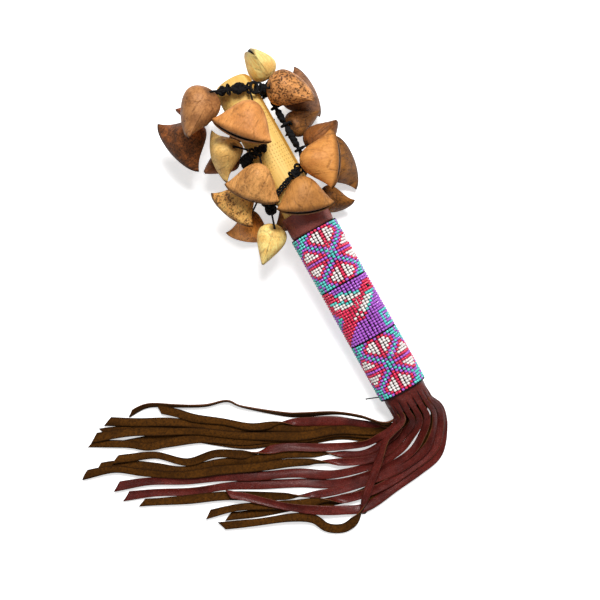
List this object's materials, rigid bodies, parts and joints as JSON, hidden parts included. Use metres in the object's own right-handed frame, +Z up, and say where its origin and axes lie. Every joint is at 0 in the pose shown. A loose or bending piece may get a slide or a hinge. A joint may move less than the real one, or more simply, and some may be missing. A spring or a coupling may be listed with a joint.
{
  "type": "seed pod hand rattle",
  "caption": "Hand rattle: hollow slit nutshell pods tied on black cord round a wooden stick, with a beaded grip, a leather sleeve and a long leather fringe.",
  "frame": {"origin": "middle of the rattle's outline without its fringe, on the surface it lies on", "axes": "+Y from the fringe end of the grip to the stick's tip, +Z up from the surface, +X to the right as seen from above"},
  "size_m": [0.2417, 0.2831, 0.0727],
  "materials": {
    "stick_wood": "sanded pale hardwood, unvarnished",
    "leather": "soft suede-backed hide, dark reddish brown",
    "red_beads": "opaque glossy seed beads in red, white, purple and teal",
    "purple_beads": "opaque glossy seed beads, purple ground with a red bird",
    "black_thread": "waxed thread",
    "black_cord": "braided cord, dull black",
    "brown_shell": "dry nutshell, satin",
    "dark_shell": "dry nutshell, speckled dark",
    "red_shell": "dry nutshell, dark reddish",
    "pale_shell": "dry nutshell, pale cream",
    "tan_shell": "dry nutshell, polished tan"
  },
  "bodies": {
    "handle": {"stick": "stick_wood", "leather_sleeve": "leather", "bead_panel_upper": "red_beads", "bead_panel_middle": "purple_beads", "bead_panel_lower": "red_beads", "thread_bands": "black_thread", "thread_tail": "black_thread", "upper_ring_cord": "black_cord", "middle_cord": "black_cord", "lower_ring_cord": "black_cord", "left_side_cord": "black_cord", "right_side_cord": "black_cord", "fringe_rear": "leather", "fringe_middle": "leather", "fringe_front": "leather"},
    "pod_01": {"pod_01": "pale_shell", "tie_01": "black_cord"},
    "pod_02": {"pod_02": "dark_shell", "tie_02": "black_cord"},
    "pod_03": {"pod_03": "dark_shell", "tie_03": "black_cord"},
    "pod_04": {"pod_04": "brown_shell", "tie_04": "black_cord"},
    "pod_05": {"pod_05": "dark_shell", "tie_05": "black_cord"},
    "pod_06": {"pod_06": "red_shell", "tie_06": "black_cord"},
    "pod_07": {"pod_07": "tan_shell", "tie_07": "black_cord"},
    "pod_08": {"pod_08": "pale_shell", "tie_08": "black_cord"},
    "pod_09": {"pod_09": "red_shell", "tie_09": "black_cord"},
    "pod_10": {"pod_10": "tan_shell", "tie_10": "black_cord"},
    "pod_11": {"pod_11": "dark_shell", "tie_11": "black_cord"},
    "pod_12": {"pod_12": "red_shell", "tie_12": "black_cord"},
    "pod_13": {"pod_13": "pale_shell", "tie_13": "black_cord"},
    "pod_14": {"pod_14": "brown_shell", "tie_14": "black_cord"},
    "pod_15": {"pod_15": "brown_shell", "tie_15": "black_cord"},
    "pod_16": {"pod_16": "tan_shell", "tie_16": "black_cord"},
    "pod_17": {"pod_17": "tan_shell", "tie_17": "black_cord"},
    "pod_18": {"pod_18": "dark_shell", "tie_18": "black_cord"},
    "pod_19": {"pod_19": "brown_shell", "tie_19": "black_cord"},
    "pod_20": {"pod_20": "dark_shell", "tie_20": "black_cord"},
    "pod_21": {"pod_21": "red_shell", "tie_21": "black_cord"},
    "pod_22": {"pod_22": "brown_shell", "tie_22": "black_cord"}
  },
  "joints": [
    {"name": "swing_01", "type": "hinge", "parent": "handle", "child": "pod_01", "pos_m": [0.01732, 0.09082, 0.02797], "axis": [-0.545, 0.3125, -0.778], "range_deg": [0, 11]},
    {"name": "swing_02", "type": "hinge", "parent": "handle", "child": "pod_02", "pos_m": [0.01626, 0.08871, 0.04974], "axis": [-0.6204, 0.1628, 0.7672], "range_deg": [0, 29]},
    {"name": "swing_03", "type": "hinge", "parent": "handle", "child": "pod_03", "pos_m": [0.0204, 0.07699, 0.03665], "axis": [0, 0.9933, 0.116], "range_deg": [0, 31]},
    {"name": "swing_04", "type": "hinge", "parent": "handle", "child": "pod_04", "pos_m": [0.00037, 0.09448, 0.05569], "axis": [-0.8996, 0.3891, -0.1981], "range_deg": [0, 36]},
    {"name": "swing_05", "type": "hinge", "parent": "handle", "child": "pod_05", "pos_m": [-0.01185, 0.10141, 0.03889], "axis": [0.0324, 0.1029, -0.9942], "range_deg": [0, 14]},
    {"name": "swing_06", "type": "hinge", "parent": "handle", "child": "pod_06", "pos_m": [-0.00911, 0.10137, 0.0297], "axis": [0.5185, -0.1119, -0.8477], "range_deg": [0, 36]},
    {"name": "swing_07", "type": "hinge", "parent": "handle", "child": "pod_07", "pos_m": [0.01134, 0.09022, 0.05394], "axis": [-0.8333, 0.2836, 0.4745], "range_deg": [0, 36]},
    {"name": "swing_08", "type": "hinge", "parent": "handle", "child": "pod_08", "pos_m": [-0.00521, 0.05543, 0.04882], "axis": [0.8387, -0.0632, 0.541], "range_deg": [0, 33]},
    {"name": "swing_09", "type": "hinge", "parent": "handle", "child": "pod_09", "pos_m": [-0.01049, 0.0582, 0.02517], "axis": [-0.5299, -0.0983, 0.8423], "range_deg": [0, 34]},
    {"name": "swing_10", "type": "hinge", "parent": "handle", "child": "pod_10", "pos_m": [-0.00225, 0.05526, 0.05035], "axis": [-0.9272, 0.0434, -0.3721], "range_deg": [0, 33]},
    {"name": "swing_11", "type": "hinge", "parent": "handle", "child": "pod_11", "pos_m": [-0.01186, 0.04421, 0.03282], "axis": [0, -0.9933, -0.116], "range_deg": [0, 8]},
    {"name": "swing_12", "type": "hinge", "parent": "handle", "child": "pod_12", "pos_m": [-0.01186, 0.03528, 0.03178], "axis": [0, 0.9933, 0.116], "range_deg": [0, 8]},
    {"name": "swing_13", "type": "hinge", "parent": "handle", "child": "pod_13", "pos_m": [-0.0111, 0.02704, 0.03681], "axis": [-0.3214, -0.0072, -0.9469], "range_deg": [0, 10]},
    {"name": "swing_14", "type": "hinge", "parent": "handle", "child": "pod_14", "pos_m": [0.0204, 0.06507, 0.03526], "axis": [0, 0.9933, 0.116], "range_deg": [0, 26]},
    {"name": "swing_15", "type": "hinge", "parent": "handle", "child": "pod_15", "pos_m": [0.0204, 0.04819, 0.03329], "axis": [0, -0.9933, -0.116], "range_deg": [0, 36]},
    {"name": "swing_16", "type": "hinge", "parent": "handle", "child": "pod_16", "pos_m": [0.01365, 0.03503, 0.0461], "axis": [-0.7697, -0.3448, 0.5372], "range_deg": [0, 36]},
    {"name": "swing_17", "type": "hinge", "parent": "handle", "child": "pod_17", "pos_m": [0.00822, 0.03276, 0.04848], "axis": [-0.9118, -0.3577, 0.2018], "range_deg": [0, 36]},
    {"name": "swing_18", "type": "hinge", "parent": "handle", "child": "pod_18", "pos_m": [0.01982, 0.03953, 0.02686], "axis": [0.2904, -0.0053, 0.9569], "range_deg": [0, 7]},
    {"name": "swing_19", "type": "hinge", "parent": "handle", "child": "pod_19", "pos_m": [0.01478, 0.03863, 0.01875], "axis": [0.7198, 0.1857, 0.6688], "range_deg": [0, 7]},
    {"name": "swing_20", "type": "hinge", "parent": "handle", "child": "pod_20", "pos_m": [0.00258, 0.09755, 0.02163], "axis": [0.9221, -0.3579, -0.147], "range_deg": [0, 36]},
    {"name": "swing_21", "type": "hinge", "parent": "handle", "child": "pod_21", "pos_m": [0.00427, 0.05914, 0.01705], "axis": [1, 0, 0], "range_deg": [0, 36]},
    {"name": "swing_22", "type": "hinge", "parent": "handle", "child": "pod_22", "pos_m": [0.00087, 0.03403, 0.0145], "axis": [0.9192, 0.3564, -0.1677], "range_deg": [0, 22]}
  ]
}
